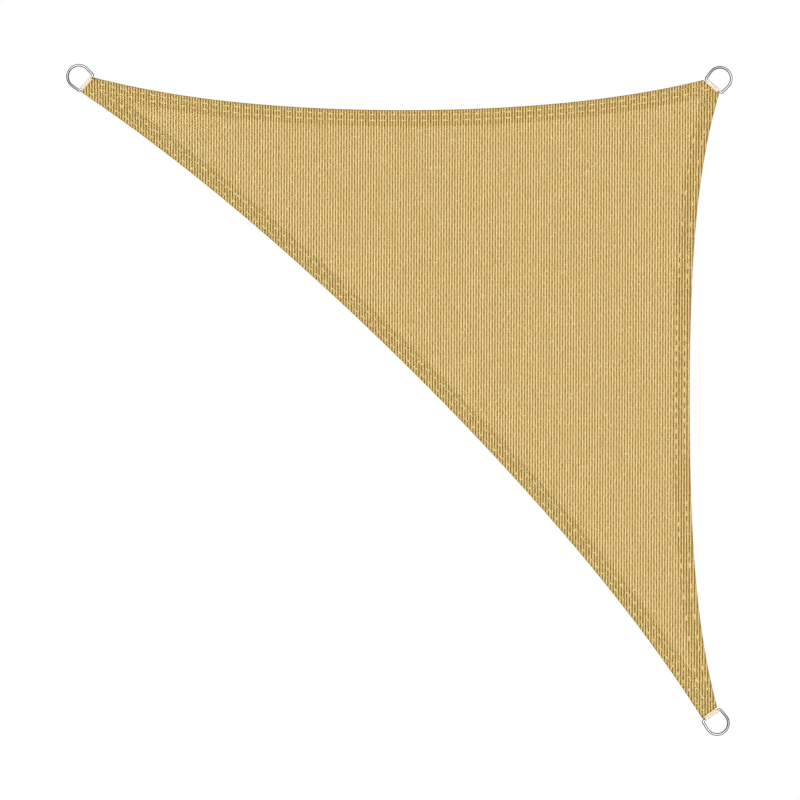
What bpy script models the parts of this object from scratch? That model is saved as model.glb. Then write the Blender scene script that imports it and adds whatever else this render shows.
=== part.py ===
"""Shade sail: a right triangle of knitted cloth with hollow-cut edges and sewn hems, and at
each corner a steel D-ring held by a folded webbing loop. It lies flat, its underside on z = 0,
with its square corner at +X +Y. Units are metres."""

import math
from collections import namedtuple

import bmesh
import bpy
from mathutils import Matrix, Vector

# The plan. Each corner is set by the centre of its ring's round end, by the direction in which
# the ring pulls away from the sail, and by the cloth's cut end. That end stops short of the
# ring's bar by neck where the strap leaves it, and reaches further out beside the strap: each tip
# is (how far short of the bar, how far to its side of the bar's middle), looking outwards.
Corner = namedtuple("Corner", "name ring_x ring_y pull_deg neck left_tip right_tip")
CORNERS = (
    Corner("left", -0.9610, 0.9693, 139.0, 0.0058, (0.0038, 0.0310), (0.0038, 0.0272)),
    Corner("square", 0.9610, 0.9631, 48.5, 0.0065, (0.0038, 0.0338), (0.0038, 0.0279)),
    Corner("foot", 0.9524, -0.9693, -53.5, 0.0085, (0.0075, 0.0291), (0.0038, 0.0275)),
)
# Each edge runs between two corners and curves in towards the middle of the sail by its sag.
# Fullness 0 is a plain parabola, and 1 holds the depth further out towards the corners. Skew
# deepens the half towards the edge's end and makes the other shallower.
Edge = namedtuple("Edge", "start end sag fullness skew")
EDGES = (
    Edge("left", "foot", 0.1162, 0.20, 0.045),
    Edge("foot", "square", 0.0855, 0.52, 0.033),
    Edge("square", "left", 0.0945, 0.225, 0.012),
)
EDGE_STEPS = 40

# Cloth: heights are to the middle of the ribs' slopes.
CLOTH_THICKNESS = 0.0012
HEM_THICKNESS = 0.0025
HEM_WIDTH = 0.048
HEM_FOLD = 0.0007
RIB_PITCH = 0.00812
RIB_HEIGHT = 0.0005

# D-ring: round wire, bent to an arc, two nearly straight sides and a straight bar.
WIRE_RADIUS = 0.004
RING_ARC_RADIUS = 0.0338
RING_BAR_DEPTH = 0.0305
RING_BEND_RADIUS = 0.0065
RING_BAR_HALF = 0.0256
RING_ARC_STEPS = 32
RING_BEND_STEPS = 5
WIRE_BEVEL_RESOLUTION = 6

# Webbing: one strap, folded round the bar, its tails lying in the cloth's end.
STRAP_WIDTH = 0.050
STRAP_THICKNESS = 0.0012
TAIL_LENGTH = 0.016
TAIL_JOIN = 0.014
STRAP_TURN_STEPS = 20
MOUTH_MARGIN = 0.0012
CLEARANCE = 0.0003

# Heights of the strap's middle line, from the floor up.
LOOP_RADIUS = WIRE_RADIUS + CLEARANCE + STRAP_THICKNESS / 2
BAR_HEIGHT = LOOP_RADIUS + STRAP_THICKNESS / 2
LOWER_TAIL = CLOTH_THICKNESS + CLEARANCE + STRAP_THICKNESS / 2
UPPER_TAIL = LOWER_TAIL + STRAP_THICKNESS + CLEARANCE

# Corner casing: the cloth's two layers round the tails.
CASING_HALF_WIDTH = 0.0283
CASING_TOP_HALF_WIDTH = 0.0265
CASING_RUN_OUT = 0.022
CASING_SETBACK = 0.0002
CASING_BASE = CLOTH_THICKNESS / 2

BLOCK_HALF_SIDE = 1.05
OVER = 0.02


def clear_scene():
    for old in list(bpy.data.objects):
        bpy.data.objects.remove(old, do_unlink=True)


def material(name, colour, roughness, metallic=0.0):
    made = bpy.data.materials.new(name)
    made.use_nodes = True
    shader = made.node_tree.nodes["Principled BSDF"]
    shader.inputs["Base Color"].default_value = (*colour, 1.0)
    shader.inputs["Roughness"].default_value = roughness
    shader.inputs["Metallic"].default_value = metallic
    made.diffuse_color = (*colour, 1.0)
    return made


def new_object(name, data, finish=None):
    made = bpy.data.objects.new(name, data)
    bpy.context.scene.collection.objects.link(made)
    if finish:
        data.materials.append(finish)
    return made


def mesh_object(name, shape, finish=None):
    bmesh.ops.recalc_face_normals(shape, faces=shape.faces)
    mesh = bpy.data.meshes.new(name)
    shape.to_mesh(mesh)
    shape.free()
    return new_object(name, mesh, finish)


def hide_helper(helper):
    helper.hide_render = True
    helper.display_type = "WIRE"


def boolean(target, operation, operand):
    step = target.modifiers.new(operation.lower() + "_" + operand.name, "BOOLEAN")
    step.operation = operation
    step.solver = "EXACT"
    step.object = operand


# --- the plan's corners and edges ---


def ring_tilt():
    """The ring leans down from its bar, so that its round end touches the floor."""
    fall = BAR_HEIGHT - WIRE_RADIUS
    return math.asin(fall / (RING_ARC_RADIUS + RING_BAR_DEPTH))


def ring_matrix(corner):
    tilt = ring_tilt()
    centre_height = WIRE_RADIUS + RING_ARC_RADIUS * math.sin(tilt)
    place = Matrix.Translation((corner.ring_x, corner.ring_y, centre_height))
    turn = Matrix.Rotation(math.radians(corner.pull_deg), 4, "Z")
    return place @ turn @ Matrix.Rotation(tilt, 4, "Y")


def bar_matrix(corner):
    """Level axes at the floor under the bar's middle, +X pointing away from the sail."""
    bar = ring_matrix(corner) @ Vector((-RING_BAR_DEPTH, 0, 0))
    turn = Matrix.Rotation(math.radians(corner.pull_deg), 4, "Z")
    return Matrix.Translation((bar.x, bar.y, 0)) @ turn


def named_corner(name):
    return next(corner for corner in CORNERS if corner.name == name)


def cut_end(corner):
    """The cloth's cut end from its right tip round the strap's mouth to its left tip."""
    half = STRAP_WIDTH / 2 + MOUTH_MARGIN
    points = (
        (-corner.right_tip[0], -corner.right_tip[1]),
        (-corner.neck, -half),
        (-corner.neck, half),
        (-corner.left_tip[0], corner.left_tip[1]),
    )
    return [bar_matrix(corner) @ Vector((*point, 0)) for point in points]


def edge_point(start, end, edge, u):
    """A point of the edge curve, u running from -1 at its start to 1 at its end."""
    chord = end - start
    inwards = Vector((-chord.y, chord.x, 0)).normalized()
    depth = (1 - edge.fullness) * (1 - u**2) + edge.fullness * (1 - u**4)
    depth *= edge.sag * (1 + edge.skew * u)
    return start + chord * (u + 1) / 2 + inwards * depth


def edge_curve(edge, inset):
    """The edge's points from start to end, moved into the sail by inset."""
    start = cut_end(named_corner(edge.start))[-1]
    end = cut_end(named_corner(edge.end))[0]
    points = []
    for step in range(EDGE_STEPS + 1):
        u = 2 * step / EDGE_STEPS - 1
        along = edge_point(start, end, edge, u + 0.01) - edge_point(start, end, edge, u - 0.01)
        inwards = Vector((-along.y, along.x, 0)).normalized()
        points.append(edge_point(start, end, edge, u) + inwards * inset)
    return points


def crossing(first, second):
    """Where two runs of points cross: (index in first, index in second, point), or None."""
    for i in range(len(first) - 1):
        for j in range(len(second) - 1):
            a, b = first[i], first[i + 1] - first[i]
            c, d = second[j], second[j + 1] - second[j]
            turn = b.x * d.y - b.y * d.x
            if abs(turn) < 1e-12:
                continue
            s = ((c.x - a.x) * d.y - (c.y - a.y) * d.x) / turn
            t = ((c.x - a.x) * b.y - (c.y - a.y) * b.x) / turn
            if 0 <= s <= 1 and 0 <= t <= 1:
                return i, j, a + b * s
    return None


def outline(inset):
    """The sail's outline, its edges moved in by inset. Where two moved edges cross they end
    there, and else the cut end's mouth lies between them."""
    runs = [edge_curve(edge, inset) for edge in EDGES]
    for i in range(len(runs)):
        after = (i + 1) % len(runs)
        met = crossing(runs[i], runs[after])
        if met:
            last, first, point = met
            runs[i] = runs[i][: last + 1] + [point]
            runs[after] = runs[after][first + 1 :]
        else:
            runs[i] += cut_end(named_corner(EDGES[i].end))[1:-1]
    return [point for run in runs for point in run]


# --- cloth ---


def stacked(name, levels):
    """A closed block through outlines of equal point counts: levels of (outline, height)."""
    shape = bmesh.new()
    rings = [[shape.verts.new((p.x, p.y, height)) for p in loop] for loop, height in levels]
    for low, high in zip(rings, rings[1:]):
        for i in range(len(low)):
            after = (i + 1) % len(low)
            shape.faces.new((low[i], low[after], high[after], high[i]))
    shape.faces.new(rings[0][::-1])
    shape.faces.new(rings[-1])
    return mesh_object(name, shape)


def ribbed_block(name, flat_height, rib_height, finish=None):
    """A wide block, flat on one side and ribbed along Y on the other."""
    count = 2 * math.ceil(BLOCK_HALF_SIDE / RIB_PITCH)
    profile = []
    for i in range(-count, count + 1):
        swing = RIB_HEIGHT / 2 if i % 2 else -RIB_HEIGHT / 2
        profile.append((i * RIB_PITCH / 2, rib_height + swing))
    profile.append((profile[-1][0], flat_height))
    profile.append((profile[0][0], flat_height))
    shape = bmesh.new()
    face = shape.faces.new([shape.verts.new((x, -BLOCK_HALF_SIDE, z)) for x, z in profile])
    pulled = bmesh.ops.extrude_face_region(shape, geom=[face])
    moved = [item for item in pulled["geom"] if isinstance(item, bmesh.types.BMVert)]
    bmesh.ops.translate(shape, verts=moved, vec=(0, 2 * BLOCK_HALF_SIDE, 0))
    return mesh_object(name, shape, finish)


def upper_tail_slope():
    """How steeply the strap's upper tail climbs from where the tails join to the loop."""
    reach = math.hypot(TAIL_JOIN, BAR_HEIGHT - UPPER_TAIL)
    return math.atan2(BAR_HEIGHT - UPPER_TAIL, TAIL_JOIN) + math.asin(LOOP_RADIUS / reach)


def casing_line(corner, lift, front):
    """A line over the strap's upper tail, lift above its middle, from front inwards."""
    slope = upper_tail_slope()
    bend_height = UPPER_TAIL + lift
    bend = -TAIL_JOIN - lift * math.tan(slope / 2)
    return (front, bend_height + (front - bend) * math.tan(slope)), (bend, bend_height)


def casing(corner):
    """The raised end of the cloth over the strap's tails."""
    lift = STRAP_THICKNESS / 2 + CLEARANCE + CLOTH_THICKNESS
    front, bend = casing_line(corner, lift, -corner.neck - CASING_SETBACK)
    back = -corner.neck - TAIL_LENGTH - 2 * CLEARANCE - CLOTH_THICKNESS
    run_out = back - CASING_RUN_OUT
    shape = bmesh.new()
    rows = []
    for x, top in (front, bend, (back, bend[1]), (run_out, CLOTH_THICKNESS)):
        section = (
            (-CASING_HALF_WIDTH, CASING_BASE),
            (-CASING_HALF_WIDTH, min(top, HEM_THICKNESS)),
            (-CASING_TOP_HALF_WIDTH, top),
            (CASING_TOP_HALF_WIDTH, top),
            (CASING_HALF_WIDTH, min(top, HEM_THICKNESS)),
            (CASING_HALF_WIDTH, CASING_BASE),
        )
        rows.append([shape.verts.new((x, y, z)) for y, z in section])
    for near, far in zip(rows, rows[1:]):
        for i in range(len(near)):
            after = (i + 1) % len(near)
            shape.faces.new((near[i], near[after], far[after], far[i]))
    shape.faces.new(rows[0])
    shape.faces.new(rows[-1])
    made = mesh_object("casing_" + corner.name, shape)
    made.matrix_world = bar_matrix(corner)
    return made


def pocket(corner):
    """The slot that the strap's tails lie in, open at the cloth's end."""
    half = STRAP_WIDTH / 2 + CLEARANCE
    front, bend = casing_line(corner, STRAP_THICKNESS / 2 + CLEARANCE, OVER / 4)
    back = -corner.neck - TAIL_LENGTH - CLEARANCE
    section = (
        (front[0], CLOTH_THICKNESS),
        front,
        bend,
        (back, bend[1]),
        (back, CLOTH_THICKNESS),
    )
    shape = bmesh.new()
    face = shape.faces.new([shape.verts.new((x, -half, z)) for x, z in section])
    pulled = bmesh.ops.extrude_face_region(shape, geom=[face])
    moved = [item for item in pulled["geom"] if isinstance(item, bmesh.types.BMVert)]
    bmesh.ops.translate(shape, verts=moved, vec=(0, 2 * half, 0))
    made = mesh_object("pocket_" + corner.name, shape)
    made.matrix_world = bar_matrix(corner)
    return made


def build_cloth():
    """One sheet: ribbed all over, thicker along the hems, cased round each strap's tails."""
    sand = material("sail_cloth", (0.617, 0.440, 0.174), 0.85)
    cloth = ribbed_block("sail_cloth", 0, HEM_THICKNESS, sand)
    fold = (
        (outline(0), -OVER),
        (outline(0), HEM_THICKNESS - RIB_HEIGHT),
        (outline(HEM_FOLD), HEM_THICKNESS + RIB_HEIGHT / 2),
        (outline(HEM_FOLD), OVER),
    )
    edge_shape = stacked("edge_shape", fold)
    inner = outline(HEM_WIDTH)
    inner_shape = stacked("inner_shape", ((inner, -OVER), (inner, OVER)))
    lowering = ribbed_block("lowering", OVER / 2, CLOTH_THICKNESS)
    boolean(lowering, "INTERSECT", inner_shape)
    boolean(cloth, "DIFFERENCE", lowering)
    casings = [casing(corner) for corner in CORNERS]
    pockets = [pocket(corner) for corner in CORNERS]
    for raised in casings:
        boolean(cloth, "UNION", raised)
    boolean(cloth, "INTERSECT", edge_shape)
    for slot in pockets:
        boolean(cloth, "DIFFERENCE", slot)
    helpers = [edge_shape, inner_shape, lowering, *casings, *pockets]
    for helper in helpers:
        hide_helper(helper)


# --- webbing loops ---


def strap_line(corner):
    """The strap's middle line in (outward, height), from the lower tail's end round the bar."""
    mouth = -corner.neck
    reach = math.hypot(mouth, BAR_HEIGHT - LOWER_TAIL)
    lower_slope = math.asin(LOOP_RADIUS / reach) - math.atan2(BAR_HEIGHT - LOWER_TAIL, -mouth)
    first = -math.pi / 2 - lower_slope
    last = math.pi / 2 + upper_tail_slope()
    line = [(mouth - TAIL_LENGTH, LOWER_TAIL), (mouth, LOWER_TAIL)]
    for step in range(STRAP_TURN_STEPS + 1):
        angle = first + (last - first) * step / STRAP_TURN_STEPS
        line.append((LOOP_RADIUS * math.cos(angle), BAR_HEIGHT + LOOP_RADIUS * math.sin(angle)))
    line += [(-TAIL_JOIN, UPPER_TAIL), (mouth - TAIL_LENGTH, UPPER_TAIL)]
    return line


def build_webbing(corner, cream):
    shape = bmesh.new()
    rows = []
    for x, z in strap_line(corner):
        rows.append([shape.verts.new((x, side * STRAP_WIDTH / 2, z)) for side in (-1, 1)])
    for near, far in zip(rows, rows[1:]):
        shape.faces.new((near[0], near[1], far[1], far[0]))
    strap = mesh_object("webbing_loop_" + corner.name, shape, cream)
    strap.matrix_world = bar_matrix(corner)
    thicken = strap.modifiers.new("thickness", "SOLIDIFY")
    thicken.thickness = STRAP_THICKNESS
    thicken.offset = 0
    thicken.use_even_offset = True


# --- D-rings ---


def ring_line():
    """The wire's middle line, closed: +X is the round end, and the bar lies across -X."""
    bend_centre = Vector((RING_BEND_RADIUS - RING_BAR_DEPTH, RING_BAR_HALF))
    lean = math.atan2(bend_centre.x, bend_centre.y)
    lean += math.acos((RING_ARC_RADIUS - RING_BEND_RADIUS) / bend_centre.length)
    half = []
    for step in range(RING_BEND_STEPS + 1):
        angle = -math.pi / 2 + (lean + math.pi / 2) * step / RING_BEND_STEPS
        side = RING_BEND_RADIUS * math.cos(angle)
        half.append((bend_centre.x + RING_BEND_RADIUS * math.sin(angle), bend_centre.y + side))
    for step in range(RING_ARC_STEPS // 2 + 1):
        angle = lean + (math.pi / 2 - lean) * step / (RING_ARC_STEPS // 2)
        half.append((RING_ARC_RADIUS * math.sin(angle), RING_ARC_RADIUS * math.cos(angle)))
    return half + [(x, -y) for x, y in half[-2::-1]]


def build_ring(corner, steel):
    curve = bpy.data.curves.new("d_ring_" + corner.name, "CURVE")
    curve.dimensions = "3D"
    curve.bevel_depth = WIRE_RADIUS
    curve.bevel_resolution = WIRE_BEVEL_RESOLUTION
    line = ring_line()
    spline = curve.splines.new("POLY")
    spline.points.add(len(line) - 1)
    for point, (x, y) in zip(spline.points, line):
        point.co = (x, y, 0, 1)
    spline.use_cyclic_u = True
    spline.use_smooth = True
    ring = new_object(curve.name, curve, steel)
    ring.matrix_world = ring_matrix(corner)


clear_scene()
build_cloth()
cream = material("webbing", (0.80, 0.73, 0.62), 0.8)
steel = material("ring_steel", (0.62, 0.63, 0.65), 0.18, 1.0)
for corner in CORNERS:
    build_webbing(corner, cream)
    build_ring(corner, steel)
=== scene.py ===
"""A right-triangle shade sail of knitted cloth, laid out flat. Its hems are sewn down with two rows
of stitches, and a steel D-ring hangs in a folded webbing loop at each corner. Units are metres."""

import math
from collections import namedtuple

import bmesh
import bpy
import numpy as np
from mathutils import Matrix, Vector, geometry


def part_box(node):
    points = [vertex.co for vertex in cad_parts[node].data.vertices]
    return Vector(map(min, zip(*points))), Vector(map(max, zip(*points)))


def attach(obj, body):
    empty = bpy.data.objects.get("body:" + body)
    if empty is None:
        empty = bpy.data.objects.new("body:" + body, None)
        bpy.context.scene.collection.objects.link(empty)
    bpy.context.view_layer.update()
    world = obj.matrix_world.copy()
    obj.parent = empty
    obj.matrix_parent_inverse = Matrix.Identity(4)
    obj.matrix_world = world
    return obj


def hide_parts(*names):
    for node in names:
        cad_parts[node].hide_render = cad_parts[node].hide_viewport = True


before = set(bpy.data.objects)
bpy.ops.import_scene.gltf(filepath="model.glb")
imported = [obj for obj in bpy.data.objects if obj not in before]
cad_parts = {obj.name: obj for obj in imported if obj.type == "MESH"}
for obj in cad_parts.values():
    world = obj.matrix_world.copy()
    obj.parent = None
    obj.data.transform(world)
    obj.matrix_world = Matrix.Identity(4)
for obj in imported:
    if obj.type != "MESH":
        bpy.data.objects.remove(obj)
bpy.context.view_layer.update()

# --- Camera ---
# It looks straight down on the sail from far enough to take in all three rings, with a long lens,
# so that the edges of the cloth are hardly seen from the side.

VIEW_WIDTH = 2.4
VIEW_MIDDLE = Vector((0.0018, -0.00045))
LENS_MM = 85.0
SENSOR_MM = 36.0

scene = bpy.context.scene


def new_object(name, data, finish=None):
    """An object of the scene, in a finish if one is given."""
    made = bpy.data.objects.new(name, data)
    scene.collection.objects.link(made)
    if finish:
        data.materials.clear()
        data.materials.append(finish)
    return made


camera_data = bpy.data.cameras.new("camera")
camera_data.lens = LENS_MM
camera_data.sensor_width = SENSOR_MM
camera = new_object("camera", camera_data)
camera.location = (*VIEW_MIDDLE, VIEW_WIDTH * LENS_MM / SENSOR_MM)
scene.camera = camera


# --- Cloth sheet ---
# The ground of the knit: one sheet of sand-coloured cloth, cut with hollow edges, its hems turned
# under and sewn down. At each corner its cut end is drawn over the tails of the webbing loop.

# Each corner is set by the centre of its ring's round end, by the way the ring pulls, and by the
# cloth's cut end. That stops short of the ring's bar by neck where the strap leaves it, and runs
# out to a tip on both sides: how far short of the bar, and how far aside from its middle.
Corner = namedtuple("Corner", "name ring_x ring_y pull_deg neck left_tip right_tip")
CORNERS = {
    corner.name: corner
    for corner in (
        Corner("left", -0.9610, 0.9693, 139.0, 0.0058, (0.0038, 0.0310), (0.0038, 0.0272)),
        Corner("square", 0.9610, 0.9631, 48.5, 0.0065, (0.0038, 0.0338), (0.0038, 0.0279)),
        Corner("foot", 0.9524, -0.9693, -53.5, 0.0085, (0.0075, 0.0291), (0.0038, 0.0275)),
    )
}
# Each edge runs from one corner to the next and curves in by its sag, fuller towards its ends the
# higher its fullness is, and deeper in its second half by its skew. Its two rows of stitches lie
# outer_row and inner_row in from the edge.
Edge = namedtuple("Edge", "start end sag fullness skew outer_row inner_row")
EDGES = (
    Edge("left", "foot", 0.1162, 0.20, 0.045, 0.0134, 0.0348),
    Edge("foot", "square", 0.0855, 0.52, 0.033, 0.0160, 0.0415),
    Edge("square", "left", 0.0945, 0.225, 0.012, 0.0144, 0.0318),
)
EDGE_STEPS = 180
EDGE_NUDGE = 0.01

WIRE_RADIUS = 0.004
RING_ARC_RADIUS = 0.0338
RING_BAR_DEPTH = 0.0305
STRAP_THICKNESS = 0.0012
CLEARANCE = 0.0003
LOOP_RADIUS = WIRE_RADIUS + CLEARANCE + STRAP_THICKNESS / 2
BAR_HEIGHT = LOOP_RADIUS + STRAP_THICKNESS / 2

# The sheet's upper face, by how far in from the edge: it rounds over the fold, lies lowest along
# the stitches and steps down past the hem.
HEM_PROFILE = (
    (0.0, 0.0011), (0.0006, 0.0019), (0.0020, 0.0022), (0.0140, 0.0019), (0.0240, 0.0023),
    (0.0350, 0.0019), (0.0455, 0.0022), (0.0475, 0.0021), (0.0490, 0.0009), (0.0800, 0.0009)
)
HEM_WIDTH = 0.0490
HEM_STEP = 0.0015

# The sheet's points lie in rows: staggered over the field, and finer in a patch at each corner.
FIELD_STEP = 0.020
FIELD_REACH = 1.0
PATCH_STEP = 0.0020
PATCH_REACH = 0.056
PATCH_ROWS = 16
ROW_SQUEEZE = 0.9
MERGE_DISTANCE = 1e-5
INSIDE_ONLY = 1
SHARP_FROM = math.radians(50)

# The cased corner, in a corner's own axes: outwards from the ring's bar, across, and up.
STRAP_WIDTH = 0.050
MOUTH_MARGIN = 0.0012
TAIL_LENGTH = 0.016
TAIL_JOIN = 0.014
UPPER_TAIL = 0.0036
LOWER_LAYER = 0.0012
CASING_LAYER = 0.0009
CASING_RUN_OUT = 0.022
CASING_SHOULDER = 0.0245
CASING_SIDE = 0.0283
POCKET_FRONT = 0.005


def ring_matrix(corner):
    """The ring's own axes: +X towards its round end, which leans down to the floor."""
    tilt = math.asin((BAR_HEIGHT - WIRE_RADIUS) / (RING_ARC_RADIUS + RING_BAR_DEPTH))
    height = WIRE_RADIUS + RING_ARC_RADIUS * math.sin(tilt)
    place = Matrix.Translation((corner.ring_x, corner.ring_y, height))
    turn = Matrix.Rotation(math.radians(corner.pull_deg), 4, "Z")
    return place @ turn @ Matrix.Rotation(tilt, 4, "Y")


def bar_matrix(corner):
    """Level axes on the floor under the middle of the ring's bar, +X pointing outwards."""
    bar = ring_matrix(corner) @ Vector((-RING_BAR_DEPTH, 0, 0))
    turn = Matrix.Rotation(math.radians(corner.pull_deg), 4, "Z")
    return Matrix.Translation((bar.x, bar.y, 0)) @ turn


def cut_end(corner):
    """The cloth's cut end from its right tip round the strap's mouth to its left tip."""
    half = STRAP_WIDTH / 2 + MOUTH_MARGIN
    points = (
        (-corner.right_tip[0], -corner.right_tip[1]),
        (-corner.neck, -half),
        (-corner.neck, half),
        (-corner.left_tip[0], corner.left_tip[1]),
    )
    return [bar_matrix(corner) @ Vector((*point, 0)) for point in points]


def edge_point(edge, u):
    """A point of the edge, where u runs from -1 at its start to 1 at its end."""
    start = cut_end(CORNERS[edge.start])[-1]
    end = cut_end(CORNERS[edge.end])[0]
    chord = end - start
    inwards = Vector((-chord.y, chord.x, 0)).normalized()
    depth = (1 - edge.fullness) * (1 - u**2) + edge.fullness * (1 - u**4)
    depth *= edge.sag * (1 + edge.skew * u)
    return start + chord * (u + 1) / 2 + inwards * depth


def edge_curve(edge, inset):
    """The edge's points from start to end, moved into the sail by inset."""
    points = []
    for step in range(EDGE_STEPS + 1):
        u = 2 * step / EDGE_STEPS - 1
        along = edge_point(edge, u + EDGE_NUDGE) - edge_point(edge, u - EDGE_NUDGE)
        inwards = Vector((-along.y, along.x, 0)).normalized()
        points.append((edge_point(edge, u) + inwards * inset).to_2d())
    return points


def trim_where_crossing(runs):
    """Closed runs of points, each cut off where it crosses the next."""
    for i in range(len(runs)):
        here, after = runs[i], runs[(i + 1) % len(runs)]
        near = range(len(here) - 2, len(here) // 2, -1)
        met = [
            (a, b, geometry.intersect_line_line_2d(here[a], here[a + 1], after[b], after[b + 1]))
            for a in near
            for b in range(len(after) // 2)
        ]
        met = [found for found in met if found[2]]
        if met:
            last, first, point = met[0]
            runs[i] = here[: last + 1] + [point]
            runs[(i + 1) % len(runs)] = [point] + after[first + 1 :]
    return runs


def as_array(points):
    return np.array([tuple(p) for p in points])


def inset_from_edge(points, curves):
    """How far each point lies from the nearest of the edge curves."""
    nearest = np.full(len(points), np.inf)
    for curve in curves:
        ends = as_array(curve)
        for start, step in zip(ends, np.diff(ends, axis=0)):
            share = np.clip((points - start) @ step / (step @ step), 0, 1)
            off = points - start - share[:, None] * step
            nearest = np.minimum(nearest, np.hypot(off[:, 0], off[:, 1]))
    return nearest


def smooth(x, low, high):
    share = np.clip((x - low) / (high - low), 0, 1)
    return share * share * (3 - 2 * share)


def upper_tail_slope():
    """How steeply the strap's upper tail climbs from where the tails join to the loop."""
    reach = math.hypot(TAIL_JOIN, BAR_HEIGHT - UPPER_TAIL)
    return math.atan2(BAR_HEIGHT - UPPER_TAIL, TAIL_JOIN) + math.asin(LOOP_RADIUS / reach)


def line_over_tails(lift):
    """A line over the strap's upper tail, lift above its middle: (where it bends, its height
    inwards of that, how steeply it climbs outwards)."""
    slope = upper_tail_slope()
    return -TAIL_JOIN - lift * math.tan(slope / 2), UPPER_TAIL + lift, math.tan(slope)


def casing_height(corner, points):
    """The cased end's upper face over the tails: a ramp up to the cut end, soft at its sides."""
    local = np.c_[points, np.zeros(len(points)), np.ones(len(points))]
    local = local @ np.array(bar_matrix(corner).inverted()).T
    bend, flat, climb = line_over_tails(STRAP_THICKNESS / 2 + CLEARANCE + CASING_LAYER)
    back = -corner.neck - TAIL_LENGTH - CASING_LAYER
    ramp = flat + np.maximum(local[:, 0] - bend, 0) * climb
    rise = smooth(local[:, 0], back - CASING_RUN_OUT, back)
    side = 1 - smooth(np.abs(local[:, 1]), CASING_SHOULDER, CASING_SIDE)
    inside = (local[:, 0] < PATCH_STEP) & (local[:, 0] > -2 * PATCH_REACH)
    return np.where(inside, ramp * rise * side, 0)


def sheet_height(points, curves):
    """The upper face's height at each point."""
    insets, heights = zip(*HEM_PROFILE)
    height = np.interp(inset_from_edge(points, curves), insets, heights)
    for corner in CORNERS.values():
        height = np.maximum(height, casing_height(corner, points))
    return height


def sheet_plan():
    """(points, triangles): the sheet seen from above, cut along its edges and its hems' step."""
    points = []
    for edge in EDGES:
        points += edge_curve(edge, 0)
        points += [p.to_2d() for p in cut_end(CORNERS[edge.end])[1:-1]]
    lines = [(i, (i + 1) % len(points)) for i in range(len(points))]
    for inset, _ in HEM_PROFILE[1:-1]:
        runs = trim_where_crossing([edge_curve(edge, inset) for edge in EDGES])
        loop = [p for run in runs for p in run]
        first = len(points)
        points += loop
        if inset >= HEM_WIDTH - HEM_STEP:
            lines += [(first + i, first + (i + 1) % len(loop)) for i in range(len(loop))]
    for corner in CORNERS.values():
        axes = bar_matrix(corner)
        for i in range(int(PATCH_REACH / PATCH_STEP)):
            for j in range(-PATCH_ROWS, PATCH_ROWS + 1):
                along = -corner.neck - (i + 0.5) * PATCH_STEP
                across = j * PATCH_STEP * ROW_SQUEEZE
                points.append((axes @ Vector((along, across, 0))).to_2d())
    count = math.ceil(FIELD_REACH / FIELD_STEP)
    for i in range(-count, count + 1):
        for j in range(-count, count + 1):
            across = (i + 0.5 * (j % 2)) * FIELD_STEP
            points.append(Vector((across, j * FIELD_STEP * ROW_SQUEEZE)))
    found = geometry.delaunay_2d_cdt(points, lines, [], INSIDE_ONLY, MERGE_DISTANCE)
    return found[0], found[2]


def as_mesh(name, shape):
    mesh = bpy.data.meshes.new(name)
    shape.to_mesh(mesh)
    shape.free()
    return mesh


def smoothed(mesh):
    """The mesh, shaded smooth but for its sharp edges."""
    mesh.shade_smooth()
    mesh.set_sharp_from_angle(angle=SHARP_FROM)
    return mesh


def closed_sheet(name, plan, triangles, heights):
    """A closed body between z = 0 and the heights, with the triangles' outer edges as its rim."""
    shape = bmesh.new()
    low = [shape.verts.new((*p, 0)) for p in plan]
    high = [shape.verts.new((*p, h)) for p, h in zip(plan, heights)]
    for a, b, c in triangles:
        shape.faces.new((high[a], high[b], high[c]))
        shape.faces.new((low[c], low[b], low[a]))
    twin = dict(zip(high, low))
    rim = [e for e in shape.edges if len(e.link_faces) == 1 and e.verts[0] in twin]
    for edge in rim:
        loop = edge.link_loops[0]
        a, b = loop.vert, loop.link_loop_next.vert
        shape.faces.new((b, a, twin[a], twin[b]))
    loose = [v for v in shape.verts if not v.link_faces]
    bmesh.ops.delete(shape, geom=loose, context="VERTS")
    return new_object(name, smoothed(as_mesh(name, shape)))


def closed_body(name, corner, sections):
    """A closed mesh through rings of points, one after the other, on the axes of a corner's bar."""
    shape = bmesh.new()
    rings = [[shape.verts.new(point) for point in section] for section in sections]
    for here, after in zip(rings, rings[1:]):
        for i in range(len(here)):
            j = (i + 1) % len(here)
            shape.faces.new((here[i], here[j], after[j], after[i]))
    shape.faces.new(rings[0])
    shape.faces.new(rings[-1])
    bmesh.ops.recalc_face_normals(shape, faces=shape.faces)
    bmesh.ops.transform(shape, matrix=bar_matrix(corner), verts=shape.verts)
    return as_mesh(name, shape)


def plain_mesh(made):
    """What an object has become under its modifiers, as a mesh of its own."""
    return bpy.data.meshes.new_from_object(
        made.evaluated_get(bpy.context.evaluated_depsgraph_get())
    )


def cut_pocket(cloth, corner):
    """Takes out of the cased end the slot that the strap's tails lie in."""
    half = STRAP_WIDTH / 2 + CLEARANCE
    bend, top, climb = line_over_tails(STRAP_THICKNESS / 2 + CLEARANCE)
    back = -corner.neck - TAIL_LENGTH - CLEARANCE
    section = (
        (POCKET_FRONT, LOWER_LAYER),
        (POCKET_FRONT, top + (POCKET_FRONT - bend) * climb),
        (bend, top),
        (back, top),
        (back, LOWER_LAYER),
    )
    sides = [[(x, y, z) for x, z in section] for y in (-half, half)]
    slot = new_object("pocket", closed_body("pocket", corner, sides))
    step = cloth.modifiers.new("pocket", "BOOLEAN")
    step.operation = "DIFFERENCE"
    step.object = slot
    cloth.data = plain_mesh(cloth)
    cloth.modifiers.clear()
    bpy.data.objects.remove(slot)


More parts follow.
